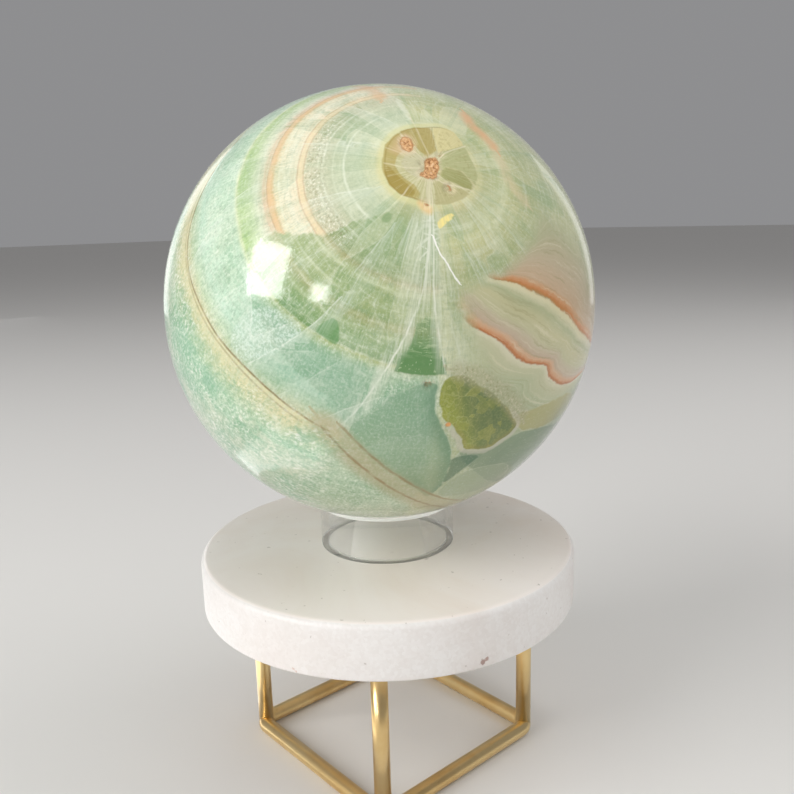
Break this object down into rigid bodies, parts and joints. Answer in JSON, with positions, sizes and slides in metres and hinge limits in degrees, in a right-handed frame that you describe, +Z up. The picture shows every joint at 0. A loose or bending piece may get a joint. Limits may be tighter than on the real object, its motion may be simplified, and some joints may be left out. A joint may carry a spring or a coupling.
{
  "type": "decorative sphere",
  "caption": "Polished banded stone sphere resting in a short clear ring on a white marble disc, on an open cube frame of brass-coloured round rod.",
  "frame": {"origin": "on the table, midway between the lower square's four sides, under the sphere's centre", "axes": "+Z up through the sphere's centre; X and Y along the sides of the rod frame"},
  "size_m": [0.164, 0.164, 0.267],
  "materials": {
    "banded_calcite": "high polish, banded and translucent",
    "clear_acrylic": "clear, polished",
    "white_marble": "honed side, polished top",
    "brass_rod": "satin gold lacquer"
  },
  "bodies": {
    "root": {"sphere": "banded_calcite", "cradle_ring": "clear_acrylic", "marble_disc": "white_marble", "upper_square": "brass_rod", "lower_square": "brass_rod", "post_1": "brass_rod", "post_2": "brass_rod", "post_3": "brass_rod", "post_4": "brass_rod"}
  },
  "joints": []
}
